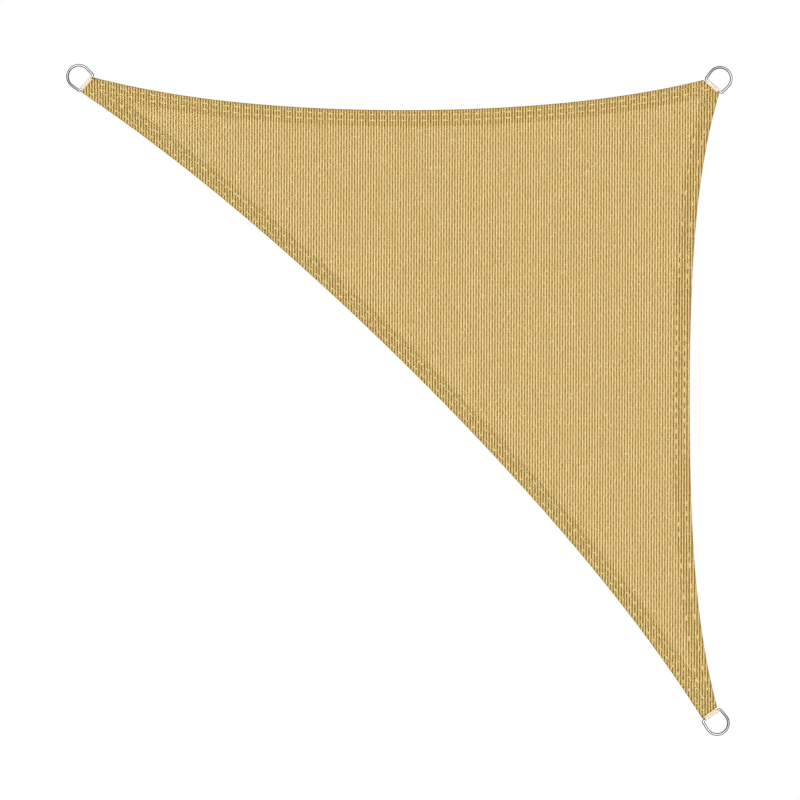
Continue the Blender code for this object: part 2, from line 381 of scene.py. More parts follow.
def seen_from_above(mesh):
    """Where the mesh's points lie, (x, y)."""
    places = np.empty(len(mesh.vertices) * 3)
    mesh.vertices.foreach_get("co", places)
    return places.reshape(-1, 3)[:, :2]


def mark(mesh, name, values, kind="FLOAT"):
    """Stores a value, or a vector's three, on each of the mesh's points."""
    made = mesh.attributes.new(name, kind, "POINT")
    made.data.foreach_set("value" if kind == "FLOAT" else "vector", values)


class Begun:
    """Holds the node tree that was begun last. The helpers below add their nodes to it."""

    tree = None


def feed(socket, source):
    """Links a socket to another node's, or sets it to a value. A colour may lack its alpha."""
    if isinstance(source, bpy.types.NodeSocket):
        socket.id_data.links.new(source, socket)
    elif socket.type == "RGBA" and len(source) == 3:
        socket.default_value = (*source, 1)
    else:
        socket.default_value = source


def put(kind, *feeds, **named):
    """A new node. Names in small letters are its settings and all others its inputs, which can
    also be fed as (number, source)."""
    made = Begun.tree.nodes.new(kind)
    for name, value in named.items():
        if name.islower():
            setattr(made, name, value)
        else:
            feeds += ((name.replace("_", " "), value),)
    for socket, source in feeds:
        feed(made.inputs[socket], source)
    return made


def out(kind, *feeds, **named):
    """The first output of such a node."""
    return put(kind, *feeds, **named).outputs[0]


def geo(kind, *feeds, **named):
    """The first output of a geometry node."""
    return out("GeometryNode" + kind, *feeds, **named)


def maths(operation, *values):
    return out("ShaderNodeMath", *enumerate(values), operation=operation)


def times(first, second, plus=None):
    """The product of two values, with a third added to it where there is one."""
    if plus is None:
        return maths("MULTIPLY", first, second)
    return maths("MULTIPLY_ADD", first, second, plus)


def vectors(operation, first, second):
    return out("ShaderNodeVectorMath", (0, first), (1, second), operation=operation)


def split(place):
    """A vector's outputs X, Y and Z."""
    return put("ShaderNodeSeparateXYZ", (0, place)).outputs


def object_place():
    return put("ShaderNodeTexCoord").outputs["Object"]


def noise(place, scale, detail=2.0):
    return put("ShaderNodeTexNoise", Vector=place, Scale=scale, Detail=detail).outputs["Fac"]


def marked(name, output="Fac"):
    """What a mesh's points were marked with under that name."""
    return put("ShaderNodeAttribute", attribute_name=name).outputs[output]


def mapped(value, low, high, new_low=0.0, new_high=1.0):
    """The value carried from one range to another, and held at its ends."""
    sockets = ("Value", "From Min", "From Max", "To Min", "To Max")
    return out("ShaderNodeMapRange", *zip(sockets, (value, low, high, new_low, new_high)))


def blend_colours(share, first, second):
    """The first colour where the share is 0 and the second where it is 1."""
    made = put("ShaderNodeMix", data_type="RGBA")
    sockets = [socket for socket in made.inputs if socket.enabled]
    for socket, source in zip(sockets, (share, first, second)):
        feed(socket, source)
    return next(socket for socket in made.outputs if socket.enabled)


def new_group(name, kind, inputs, outputs):
    """An empty node group; returns (tree, its inputs, its outputs). Each input is given by its
    label and the number that it starts with, or else the kind of its socket."""
    tree = bpy.data.node_groups.new(name, kind)
    for label, value in inputs:
        socket = value if isinstance(value, str) else type(value).__name__.capitalize()
        made = tree.interface.new_socket(label, in_out="INPUT", socket_type="NodeSocket" + socket)
        if socket != value:
            made.default_value = value
    for label, socket in outputs:
        tree.interface.new_socket(label, in_out="OUTPUT", socket_type="NodeSocket" + socket)
    Begun.tree = tree
    return tree, put("NodeGroupInput").outputs, put("NodeGroupOutput").inputs


def new_finish(name, roughness, metallic=0.0):
    """A material with a plain Principled BSDF; returns (material, the shader's inputs)."""
    made = bpy.data.materials.new(name)
    made.use_nodes = True
    Begun.tree = made.node_tree
    shader = Begun.tree.nodes["Principled BSDF"].inputs
    shader["Roughness"].default_value = roughness
    shader["Metallic"].default_value = metallic
    return made, shader


def dress(shader, colour, height, strength, distance):
    """Gives a shader its colour and a bump, as strong and as deep as said."""
    bump = out("ShaderNodeBump", Strength=strength, Distance=distance, Height=height)
    feed(shader["Base Color"], colour)
    feed(shader["Normal"], bump)


# The wales stand a pitch apart and lean a little to the right, as the cloth was cut a touch askew.
WALE_PITCH = 0.008125
WALE_SHIFT = 0.0015
WALE_LEAN = 0.0036
COURSE_PITCH = 0.0087
HEM_TINT = (0.93, 0.91, 0.81)

# The yarn's mottling: fine filaments, drawn out along the yarn, small patches and wide clouds.
FILAMENTS = 1800.0
FILAMENT_DRAW = (1, 0.12, 1)
PATCHES = 140.0
PATCH_SHARE = 0.5
CLOUDS = 9.0
CLOUD_SHARE = 0.12


def yarn_effect():
    """Uneven yarn: two colours mixed, mottled from filament to filament and over the cloth, and
    deeper on the hems, where the cloth lies double."""
    tree, given, outputs = new_group(
        "uneven yarn",
        "ShaderNodeTree",
        (
            ("Shade", "Color"), ("Light", "Color"), ("Share", 0.5), ("Amount", 0.2),
            ("Hem tint", "Color")
        ),
        (("Colour", "Color"), ("Height", "Float")),
    )
    place = object_place()
    drawn_out = out("ShaderNodeMapping", (0, place), Scale=FILAMENT_DRAW)
    filament = noise(drawn_out, FILAMENTS)
    tone = times(noise(place, PATCHES, 1.0), PATCH_SHARE, filament)
    tone = times(noise(place, CLOUDS, 3.0), CLOUD_SHARE, tone)
    tone = maths("SUBTRACT", tone, (1 + PATCH_SHARE + CLOUD_SHARE) / 2)
    tone = times(tone, given["Amount"], 1.0)
    plain = blend_colours(given["Share"], given["Shade"], given["Light"])
    tint = blend_colours(marked("hem"), (1, 1, 1), given["Hem tint"])
    tinted = vectors("MULTIPLY", vectors("MULTIPLY", plain, tint), tone)
    feed(outputs["Colour"], tinted)
    feed(outputs["Height"], filament)
    return tree


yarn_group = yarn_effect()


def uneven_yarn(shade, light, share, amount, hem_tint=HEM_TINT):
    """The outputs of the uneven yarn: its colour and its height."""
    return put(
        "ShaderNodeGroup", Shade=shade, Light=light, Share=share, Amount=amount,
        Hem_tint=hem_tint, node_tree=yarn_group
    ).outputs


def knit_place():
    """(how far from the middle of a wale, up to 0.5; wales across; courses up), in pitches."""
    place = split(object_place())
    across = times(place["Y"], -WALE_LEAN, place["X"])
    across = maths("DIVIDE", maths("SUBTRACT", across, WALE_SHIFT), WALE_PITCH)
    aside = maths("ABSOLUTE", maths("SUBTRACT", maths("FRACT", across), 0.5))
    return aside, across, maths("DIVIDE", place["Y"], COURSE_PITCH)


def wave(way, turns):
    """Swings from 1 to -1 and back so many times for each unit of the way."""
    return maths("COSINE", times(way, 2 * math.pi * turns))


# A dark brown spot at one end of each mouth is painted shade, for the shade in the gap where the
# strap, the ring and the cloth meet.
GAP_SHADE_COLOUR = (0.075, 0.045, 0.022)
GAP_SHADE_AT = (-0.0042, -0.0245)
GAP_SHADE_CORE = 0.0045
GAP_SHADE_REACH = 0.0078
GAP_SHADE_RAGS = 500.0


def singed_effect():
    """Where painted shade darkens one end of each mouth, in the gap where strap, ring and cloth
    meet.
    """
    tree, _, outputs = new_group("singed", "ShaderNodeTree", (), (("Singed", "Float"),))
    place = object_place()
    flat = vectors("MULTIPLY", place, (1, 1, 0))
    nearest = 1.0
    for corner in CORNERS.values():
        spot = bar_matrix(corner) @ Vector((*GAP_SHADE_AT, 0))
        off = put("ShaderNodeVectorMath", (0, flat), (1, spot), operation="DISTANCE")
        nearest = maths("MINIMUM", nearest, off.outputs["Value"])
    nearest = times(noise(place, GAP_SHADE_RAGS), GAP_SHADE_CORE, nearest)
    feed(outputs["Singed"], mapped(nearest, GAP_SHADE_CORE, GAP_SHADE_REACH, 1.0, 0.0))
    return tree


gap_shade_group = singed_effect()


def browned(colour):
    """The colour, darkened with painted shade in the gap at one end of each mouth."""
    singed = out("ShaderNodeGroup", node_tree=gap_shade_group)
    return blend_colours(singed, colour, GAP_SHADE_COLOUR)


# The ground's colour is the sand tape's own, darkened with painted shade for the shade in the
# grooves between the wales.
GROUND_GROOVE_SHADE = (0.210, 0.118, 0.008)
GROUND_HEM_TINT = (0.73, 0.68, 0.38)
WALE_SHADE = (0.60, 0.425, 0.115)
WALE_COLOUR = (0.96, 0.76, 0.445)
# How far from a wale's middle the ground has the wale's own colour: none of it, all of it.
RIB_FADE = (0.36, 0.26)
# How strongly the ground swings between dark and light: over three courses and over one, the other
# way round from each gap to the next; over two thirds of a course, alike in all; and in patches.
REPEAT_SWING = 1.4
COURSE_SWING = 1.6
EVEN_SWING = 0.6
PATCHY_SWING = 1.2
SWING_RANGE = (-1.0, 2.7)
CROSSING_MOST = 0.74


def ground_finish():
    """The tape's colour darkened with painted shade between the wales, for the shade in the
    grooves, with the wales' own colour where they turn over the fold. Flat tapes cross it in a
    repeat of three courses, light in one gap where they are dark in the next."""
    made, shader = new_finish("sand_ground", 0.8)
    aside, across, up = knit_place()
    rib = mapped(aside, *RIB_FADE)
    swing = times(wave(up, 1 / 3), REPEAT_SWING)
    swing = times(wave(up, 1), COURSE_SWING, swing)
    swing = times(swing, wave(across, 0.5))
    swing = times(wave(up, 2 / 3), EVEN_SWING, swing)
    swing = times(noise(object_place(), 300.0), PATCHY_SWING, swing)
    crossing = mapped(swing, *SWING_RANGE, 0.0, CROSSING_MOST)
    share = maths("MAXIMUM", crossing, rib)
    yarn = uneven_yarn(GROUND_GROOVE_SHADE, WALE_SHADE, share, 0.3, GROUND_HEM_TINT)
    relief = maths("ADD", times(yarn["Height"], 0.3, rib), crossing)
    dress(shader, browned(yarn["Colour"]), relief, strength=0.7, distance=0.0006)
    return made


edge_curves = [edge_curve(edge, 0) for edge in EDGES]
plan, triangles = sheet_plan()
sail = closed_sheet("sail_sheet", plan, triangles, sheet_height(as_array(plan), edge_curves))
for corner in CORNERS.values():
    cut_pocket(sail, corner)
insets = inset_from_edge(seen_from_above(sail.data), edge_curves)
mark(sail.data, "hem", 1 - smooth(insets, HEM_WIDTH - HEM_STEP, HEM_WIDTH))
sail.data.materials.clear()
sail.data.materials.append(ground_finish())
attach(sail, "root")
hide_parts("sail_cloth")


# --- Wales ---
# The upright ribs of the knit: chains of loops of sand-coloured tape yarn, one loop for each
# course, that stand proud of the ground and run straight up the cloth, over the hems too.

WALE_HALF_WIDTH = 0.0026
WALE_HALF_HEIGHT = 0.0009
WALE_LIFT = 0.0001
WALE_LENGTH = 2.0
WALE_PIECES = 4
WALE_SIDES = 5
ROWS_A_COURSE = 3
NUMBERS_A_WALE = 1000.0
HIGH_UP = 0.1
# The cloth's height where it passes from the field to a hem.
FIELD_TO_HEM = (0.0012, 0.0017)

# A wale keeps to its line within WALE_WANDER: it drifts slowly, shifts from loop to loop and from
# row to row, and is steadier on the hems. It ends where less than WALE_HOLD of its half width
# would lie on the cloth.
WALE_WANDER = 0.0007
WALE_DRIFT = 1.6
LOOP_SHIFT = 0.6
ROW_SHIFT = 0.45
WANDER_ON_HEM = 0.45
WALE_HOLD = 0.4

# A loop is slim where it starts and full in its middle, give or take a chance, and a wale tapers
# where it ends.
LOOP_SLIM = 0.86
LOOP_FULLER = 0.22
SWELL_START = 0.15
SWELL_TURN = 1.35
SWELL_CHANCE = (0.85, 1.13)
TONE_CHANCE = (0.25, 0.75)
WALE_END_SHARE = 0.6

KNIT_INPUTS = (
    ("First wale", 0), ("Wales", 10), ("Wale pitch", WALE_PITCH), ("Shift", WALE_SHIFT),
    ("Lean", WALE_LEAN), ("Course pitch", COURSE_PITCH), ("Length", WALE_LENGTH)
)


def growing_group(name, *inputs):
    """An empty group for what grows on the cloth; returns (tree, its inputs, its outputs, the
    cloth's shape)."""
    tree, given, outputs = new_group(
        name,
        "GeometryNodeTree",
        (*inputs, ("Cloth", "Object"), ("Finish", "Material")),
        (("Geometry", "Geometry"),),
    )
    cloth = put("GeometryNodeObjectInfo", Object=given["Cloth"]).outputs["Geometry"]
    return tree, given, outputs, cloth


def vector(x=0.0, y=0.0, z=0.0):
    return out("ShaderNodeCombineXYZ", X=x, Y=y, Z=z)


def cast_down(cloth, place, aside=0.0, along=0.0):
    """(whether the cloth lies under a place, or under a point near it; its height there)."""
    found = put(
        "GeometryNodeRaycast", Target_Geometry=cloth,
        Source_Position=vectors("ADD", place, vector(aside, along, HIGH_UP)),
        Ray_Direction=(0, 0, -1), Ray_Length=2 * HIGH_UP
    ).outputs
    return found["Is Hit"], split(found["Hit Position"])["Z"]


def both(first, second):
    return out("FunctionNodeBooleanMath", (0, first), (1, second))


def less(first, second):
    return out("FunctionNodeCompare", (0, first), (1, second), operation="LESS_THAN")


def well_on_cloth(cloth, place, reach):
    """Whether the cloth lies under a place and a reach away to its left, right, front and back."""
    back = times(reach, -1.0)
    found = cast_down(cloth, place)[0]
    for away in ((back, 0.0), (reach, 0.0), (0.0, back), (0.0, reach)):
        found = both(found, cast_down(cloth, place, *away)[0])
    return found


def raised(place, surface, lift, aside=0.0):
    """The place, moved aside and brought to a lift above the cloth's surface."""
    old = split(place)
    height = maths("ADD", surface, lift)
    return vector(maths("ADD", old["X"], aside), old["Y"], height)


def chance(number, seed, low, high):
    """A random value between low and high, the same each time for the same number."""
    return put("FunctionNodeRandomValue", (2, low), (3, high), ID=number, Seed=seed).outputs[1]


def noted(points, kind="FLOAT", **values):
    """The points with each value stored on them under its name."""
    for name, value in values.items():
        points = geo(
            "StoreNamedAttribute", Geometry=points, Name=name, Value=value, domain="POINT",
            data_type=kind
        )
    return points


def recalled(name, kind="FLOAT"):
    return geo("InputNamedAttribute", Name=name, data_type=kind)


def columns_of_points(given, first_share, rows, step):
    """Upright columns of points, a wale apart; returns (points, column number, row number)."""
    first_x = maths("ADD", given["First wale"], first_share)
    first_x = times(first_x, given["Wale pitch"], given["Shift"])
    first_y = times(given["Length"], -0.5)
    first_x = times(first_y, given["Lean"], first_x)
    upwards = vector(times(step, given["Lean"]), step)
    feet = geo(
        "MeshLine", Count=given["Wales"], Start_Location=vector(first_x, first_y),
        Offset=vector(given["Wale pitch"])
    )
    column = geo("MeshLine", Count=rows, Offset=upwards)
    points = geo("InstanceOnPoints", Points=feet, Instance=column)
    points = geo("RealizeInstances", (0, points))
    index = geo("InputIndex")
    column = maths("FLOOR", maths("DIVIDE", index, rows))
    column = maths("ADD", column, given["First wale"])
    return points, column, maths("MODULO", index, rows)


def flat_profile(sides, half_width, half_height):
    """A flattened ring for a tape's section, with a corner on top and a flat side below."""
    ring = geo("CurvePrimitiveCircle", Resolution=sides, Radius=1.0)
    ring = geo("Transform", Geometry=ring, Rotation=(0, 0, math.pi / 2))
    return geo("Transform", Geometry=ring, Scale=vector(half_width, half_height, 1.0))


def swept(curve, profile, scale=1.0):
    """The profile carried along a curve, its upper side kept up and its ends closed."""
    level = geo("SetCurveNormal", Curve=curve, mode="Z_UP")
    return geo("CurveToMesh", Curve=level, Profile_Curve=profile, Scale=scale, Fill_Caps=True)


def finished(tree, given, outputs, body):
    """The tree, ended with what it has grown as one smooth mesh of the given material."""
    body = geo("SetShadeSmooth", Geometry=body)
    body = geo("RealizeInstances", (0, body))
    body = geo("SetMaterial", Geometry=body, Material=given["Finish"])
    feed(outputs[0], body)
    return tree


def wale_tree():
    tree, given, outputs, cloth = growing_group(
        "knitted wales",
        *KNIT_INPUTS,
        ("Half width", WALE_HALF_WIDTH), ("Half height", WALE_HALF_HEIGHT),
        ("Lift", WALE_LIFT), ("Wander", WALE_WANDER), ("Seed", 7)
    )
    step = maths("DIVIDE", given["Course pitch"], ROWS_A_COURSE)
    rows = maths("CEIL", maths("DIVIDE", given["Length"], step))
    points, wale, row = columns_of_points(given, 0.5, rows, step)
    course = maths("FLOOR", maths("DIVIDE", row, ROWS_A_COURSE))
    phase = maths("MODULO", row, ROWS_A_COURSE)
    loop_number = times(wale, NUMBERS_A_WALE, course)
    row_number = times(wale, NUMBERS_A_WALE * ROWS_A_COURSE, row)
    seeds = [maths("ADD", given["Seed"], i) for i in range(4)]

    place = geo("InputPosition")
    surface = cast_down(cloth, place)[1]
    on_cloth = well_on_cloth(cloth, place, times(given["Half width"], WALE_HOLD))
    off_cloth = out("FunctionNodeBooleanMath", (0, on_cloth), operation="NOT")
    inside = well_on_cloth(cloth, place, step)
    hem = mapped(surface, *FIELD_TO_HEM)

    sway = times(maths("SUBTRACT", noise(place, 60.0, 1.0), 0.5), WALE_DRIFT)
    sway = maths("ADD", sway, chance(loop_number, seeds[0], -LOOP_SHIFT, LOOP_SHIFT))
    sway = maths("ADD", sway, chance(row_number, seeds[3], -ROW_SHIFT, ROW_SHIFT))
    sway = times(sway, given["Wander"])
    sway = times(sway, mapped(hem, 0.0, 1.0, 1.0, WANDER_ON_HEM))
    swell = maths("SINE", times(phase, SWELL_TURN, SWELL_START))
    swell = times(swell, LOOP_FULLER, LOOP_SLIM)
    swell = times(swell, chance(row_number, seeds[1], *SWELL_CHANCE))
    swell = times(swell, mapped(inside, 0.0, 1.0, WALE_END_SHARE, 1.0))
    tone = chance(row_number, seeds[2], *TONE_CHANCE)

    points = noted(points, swell=swell, loop_tone=tone, hem=hem)
    points = noted(points, "BOOLEAN", off_cloth=off_cloth)
    laid = raised(place, surface, given["Lift"], sway)
    points = geo("SetPosition", Geometry=points, Position=laid)
    points = geo(
        "DeleteGeometry", Geometry=points, Selection=recalled("off_cloth", "BOOLEAN"),
        domain="POINT"
    )
    curve = geo("MeshToCurve", Mesh=points)
    profile = flat_profile(WALE_SIDES, given["Half width"], given["Half height"])
    body = swept(curve, profile, recalled("swell"))
    return finished(tree, given, outputs, body)


def grown(name, tree, start=None, **values):
    """A plain mesh object that the geometry nodes make, their inputs set by name."""
    made = new_object(name, start or bpy.data.meshes.new(name))
    step = made.modifiers.new("grow", "NODES")
    step.node_group = tree
    sockets = {item.name: item.identifier for item in tree.interface.items_tree}
    for label, value in values.items():
        step[sockets[label.replace("_", " ")]] = value
    mesh = plain_mesh(made)
    mesh.name = name
    made.modifiers.clear()
    made.data = mesh
    return made


# The chevron of a wale's filaments, and how its loops lighten and darken along the repeat.
FILAMENTS_ACROSS = 5.0
FILAMENTS_A_COURSE = 4.0
LOOP_SWING = -0.1


def wale_finish():
    """Sand tape yarn: each loop a little lighter or darker, with its filaments in a chevron."""
    made, shader = new_finish("sand_wale", 0.62)
    aside, _, course = knit_place()
    tone = times(wave(course, 2 / 3), LOOP_SWING, marked("loop_tone"))
    yarn = uneven_yarn(WALE_SHADE, WALE_COLOUR, tone, 0.16)
    strand = times(aside, FILAMENTS_ACROSS, times(course, FILAMENTS_A_COURSE))
    strand = maths("SINE", times(strand, 2 * math.pi))
    relief = times(strand, 0.4, yarn["Height"])
    dress(shader, browned(yarn["Colour"]), relief, strength=0.5, distance=0.0003)
    return made


def shares_of_wales(pieces):
    """(first wale, number of wales) of each piece. The wales grow longer from left to right, so
    equal lengths lie between the roots of equal shares."""
    lowest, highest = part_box("sail_cloth")
    first = math.floor(lowest[0] / WALE_PITCH)
    count = math.ceil(highest[0] / WALE_PITCH) - first
    ends = [first + round(count * math.sqrt(i / pieces)) for i in range(pieces + 1)]
    return [(here, after - here) for here, after in zip(ends, ends[1:])]


wale_group = wale_tree()
sand_wale = wale_finish()
for number, (first, count) in enumerate(shares_of_wales(WALE_PIECES), 1):
    made = grown(
        f"knit_wales_{number}", wale_group, Cloth=sail, First_wale=first, Wales=count,
        Finish=sand_wale
    )
    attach(made, "root")


# --- Laps ---
# Short lengths of the same tape that swing from one wale to the next and tie them together, seen
# on top of the cloth at some of the stitches only.

LAP_HALF_LENGTH = 0.0037
LAP_HALF_WIDTH = 0.0013
LAP_HALF_HEIGHT = 0.0005
LAP_BOW = 1.6
LAP_SIDES = 3
LAP_LIFT = 0.0005
LAP_TURN = math.radians(38)
LAP_SHARE = 0.04
LAP_SHARE_ON_HEM = 0.06
LAP_SIZE_CHANCE = (0.8, 1.15)


def lap_tree():
    tree, given, outputs, cloth = growing_group(
        "knitted laps",
        *KNIT_INPUTS,
        ("Half length", LAP_HALF_LENGTH), ("Half width", LAP_HALF_WIDTH),
        ("Half height", LAP_HALF_HEIGHT), ("Lift", LAP_LIFT), ("Turn", LAP_TURN),
        ("Share", LAP_SHARE), ("Share on hem", LAP_SHARE_ON_HEM), ("Seed", 23)
    )
    rows = maths("CEIL", maths("DIVIDE", given["Length"], given["Course pitch"]))
    points, groove, row = columns_of_points(given, 0.0, rows, given["Course pitch"])
    number = times(groove, NUMBERS_A_WALE, row)
    seeds = [maths("ADD", given["Seed"], i) for i in range(5)]

    along = chance(number, seeds[1], -0.5, 0.5)
    along = vector(0.0, times(along, given["Course pitch"]))
    points = geo("SetPosition", Geometry=points, Offset=along)
    place = geo("InputPosition")
    surface = cast_down(cloth, place)[1]
    hem = mapped(surface, *FIELD_TO_HEM)
    limit = mapped(hem, 0.0, 1.0, given["Share"], given["Share on hem"])
    chosen = less(chance(number, seeds[0], 0.0, 1.0), limit)
    chosen = both(chosen, well_on_cloth(cloth, place, given["Half length"]))
    tone = chance(number, seeds[2], 0.0, 1.0)
    points = noted(points, "BOOLEAN", chosen=chosen)
    points = noted(points, loop_tone=tone, hem=hem, number=number)
    laid = raised(place, surface, given["Lift"])
    points = geo("SetPosition", Geometry=points, Position=laid)

    rise = times(given["Half height"], LAP_BOW)
    bow = geo(
        "CurveQuadraticBezier", Resolution=2, Start=vector(times(given["Half length"], -1.0)),
        Middle=vector(0.0, 0.0, rise), End=vector(given["Half length"])
    )
    profile = flat_profile(LAP_SIDES, given["Half width"], given["Half height"])
    number = recalled("number")
    turn = times(chance(number, seeds[3], -1.0, 1.0), given["Turn"])
    size = chance(number, seeds[4], *LAP_SIZE_CHANCE)
    body = geo(
        "InstanceOnPoints", Points=points, Selection=recalled("chosen", "BOOLEAN"),
        Instance=swept(bow, profile), Rotation=vector(0.0, 0.0, turn), Scale=vector(size, size, 1.0)
    )
    return finished(tree, given, outputs, body)


(first, count), = shares_of_wales(1)
laps = grown("knit_laps", lap_tree(), Cloth=sail, First_wale=first, Wales=count, Finish=sand_wale)
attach(laps, "root")


# --- Hem stitches ---
# Two rows of long chain stitches hold each hem down, sewn side by side with a twin needle in a
# doubled light thread that dips into the cloth at both ends of every stitch.

STITCH_PITCH = 0.0308
STITCH_LENGTH = 0.0165
STITCH_HALF_WIDTH = 0.0020
STITCH_CROWN = 0.0013
STITCH_ROOT = -0.0003
STITCH_POINTS = 9
STITCH_SIZE_CHANCE = (0.88, 1.12)
# A stitch rises steeply from both ends, where it is slimmer. Each of its two strands is so wide
# and so high, as shares of the stitch's half width.
STITCH_STEEPNESS = 0.45
STITCH_END_SHARE = 0.45
STRAND_WIDTH = 0.53
STRAND_HEIGHT = 0.38
STRAND_SIDES = 5
# It is left out where another edge is nearer than its own row's depth, less ROW_SLACK, and where
# less than STITCH_HOLD of its half length would lie on the cloth.
ROW_SLACK = 0.001
STITCH_HOLD = 0.95
STITCH_SHADE = (0.72, 0.54, 0.24)
STITCH_COLOUR = (0.90, 0.70, 0.35)


def edge_lines():
    """The three edges as lines of points. Each point knows the way into the sail, and how far in
    its edge's two rows of stitches lie."""
    mesh = bpy.data.meshes.new("edges")
    insides = [edge_curve(edge, 1) for edge in EDGES]
    lines = []
    first = 0
    for run in edge_curves:
        lines += [(first + i, first + i + 1) for i in range(len(run) - 1)]
        first += len(run)
    mesh.from_pydata([(*p, 0) for run in edge_curves for p in run], lines, [])
    inwards = []
    for run, inside in zip(edge_curves, insides):
        for here, further_in in zip(run, inside):
            inwards += (*(further_in - here), 0)
    mark(mesh, "inwards", inwards, "FLOAT_VECTOR")
    for row in ("outer_row", "inner_row"):
        depths = [getattr(edge, row) for edge, run in zip(EDGES, edge_curves) for _ in run]
        mark(mesh, row, depths)
    return mesh


def stitch_tree():
    tree, given, outputs, cloth = growing_group(
        "hem stitches",
        ("Edges", "Geometry"), ("Pitch", STITCH_PITCH), ("Length", STITCH_LENGTH),
        ("Half width", STITCH_HALF_WIDTH), ("Crown", STITCH_CROWN), ("Root", STITCH_ROOT),
        ("Seed", 5)
    )
    edges = geo("MeshToCurve", Mesh=given["Edges"])
    needles = geo("ResampleCurve", Curve=edges, Length=given["Pitch"], mode="LENGTH")
    along = geo("InputTangent")
    turn = out("FunctionNodeAlignRotationToVector", Vector=along, axis="X")
    needles = noted(needles, "QUATERNION", turn=turn)

    half = times(given["Length"], 0.5)
    line = geo("CurvePrimitiveLine", Start=vector(times(half, -1.0)), End=vector(half))
    line = geo("ResampleCurve", Curve=line, Count=STITCH_POINTS, mode="COUNT")
    share = put("GeometryNodeSplineParameter").outputs["Factor"]
    line = noted(line, share=share)
    both_rows = put("GeometryNodeJoinGeometry")
    for number, row in enumerate(("outer_row", "inner_row")):
        depth = recalled(row)
        offset = out(
            "ShaderNodeVectorMath", (0, recalled("inwards", "FLOAT_VECTOR")),
            Scale=depth, operation="SCALE"
        )
        moved = geo("SetPosition", Geometry=needles, Offset=offset)
        moved = geo("CurveToPoints", Curve=moved, mode="EVALUATED")
        edge = put("GeometryNodeProximity", (0, given["Edges"]), target_element="EDGES")
        clear = less(maths("SUBTRACT", depth, ROW_SLACK), edge.outputs["Distance"])
        place = geo("InputPosition")
        clear = both(clear, well_on_cloth(cloth, place, times(half, STITCH_HOLD)))
        seed = maths("ADD", given["Seed"], number)
        index = geo("InputIndex")
        sewn = geo(
            "InstanceOnPoints", Points=moved, Selection=clear, Instance=line,
            Rotation=recalled("turn", "QUATERNION"),
            Scale=vector(chance(index, seed, *STITCH_SIZE_CHANCE), 1.0, 1.0)
        )
        feed(both_rows.inputs[0], sewn)
    sewn = geo("RealizeInstances", (0, both_rows.outputs[0]))

    place = geo("InputPosition")
    surface = cast_down(cloth, place)[1]
    bow = maths("SINE", times(recalled("share"), math.pi))
    bow = maths("POWER", bow, STITCH_STEEPNESS)
    rise = mapped(bow, 0.0, 1.0, given["Root"], given["Crown"])
    laid = raised(place, surface, rise)
    sewn = geo("SetPosition", Geometry=sewn, Position=laid)
    sewn = noted(sewn, hem=0.0)
    width = times(given["Half width"], STRAND_WIDTH)
    height = times(given["Half width"], STRAND_HEIGHT)
    strands = put("GeometryNodeJoinGeometry")
    for side in (-0.5, 0.5):
        strand = geo(
            "Transform", Geometry=flat_profile(STRAND_SIDES, width, height),
            Translation=vector(times(given["Half width"], side))
        )
        feed(strands.inputs[0], strand)
    slim = mapped(bow, 0.0, 1.0, STITCH_END_SHARE, 1.0)
    body = swept(sewn, strands.outputs[0], slim)
    return finished(tree, given, outputs, body)


def thread_finish():
    """Light doubled thread, a little glossier than the tape, with a fine twist."""
    made, shader = new_finish("light_thread", 0.5)
    place = object_place()
    yarn = uneven_yarn(STITCH_SHADE, STITCH_COLOUR, noise(place, 45.0), 0.14)
    twist = put(
        "ShaderNodeTexWave", Vector=place, Scale=260.0, Distortion=1.2, bands_direction="DIAGONAL"
    ).outputs["Fac"]
    dress(shader, yarn["Colour"], twist, strength=0.6, distance=0.0002)
    return made


stitches = grown("hem_stitches", stitch_tree(), edge_lines(), Cloth=sail, Finish=thread_finish())
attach(stitches, "root")


# --- Webbing loops ---
# At each corner a cream polyester webbing strap is folded round the ring's bar, and its two tails
# are sewn into the cased end of the cloth. The weave's ribs stand up on both of its faces.

STRAP_LOWER_TAIL = 0.0021
STRAP_STEP = 0.0006
STRAP_COLUMNS = 80
RIB_PITCH = 0.0025
PICK_PITCH = 0.0024
RIB_RELIEF = 0.00013
STRAP_EDGE = 0.0008
SELVEDGE = 0.35
# The weave is painted: the lighter colour where a rib lies over a pick, and painted shade where it
# passes under.
WEBBING_SHADE = (0.75, 0.65, 0.51)
WEBBING_COLOUR = (0.82, 0.745, 0.62)


def strap_line(corner):
    """The strap's middle line, (outwards, up) on the bar's axes, from its lower tail's end round
    the bar to its upper tail's end."""
    mouth = -corner.neck
    rise = BAR_HEIGHT - STRAP_LOWER_TAIL
    reach = math.hypot(mouth, rise)
    lower_slope = math.asin(LOOP_RADIUS / reach) - math.atan2(rise, -mouth)
    first = -math.pi / 2 - lower_slope
    last = math.pi / 2 + upper_tail_slope()
    steps = round((last - first) * LOOP_RADIUS / STRAP_STEP)
    line = [(mouth - TAIL_LENGTH, STRAP_LOWER_TAIL), (mouth, STRAP_LOWER_TAIL)]
    for step in range(steps + 1):
        angle = first + (last - first) * step / steps
        line.append((LOOP_RADIUS * math.cos(angle), BAR_HEIGHT + LOOP_RADIUS * math.sin(angle)))
    return line + [(-TAIL_JOIN, UPPER_TAIL), (mouth - TAIL_LENGTH, UPPER_TAIL)]


def evenly(line, step):
    """The line with points added so that none lies further than the step from the next."""
    points = [Vector(line[0])]
    for here, after in zip(line, line[1:]):
        here, after = Vector(here), Vector(after)
        parts = max(1, round((after - here).length / step))
        points += [here.lerp(after, i / parts) for i in range(1, parts + 1)]
    return points


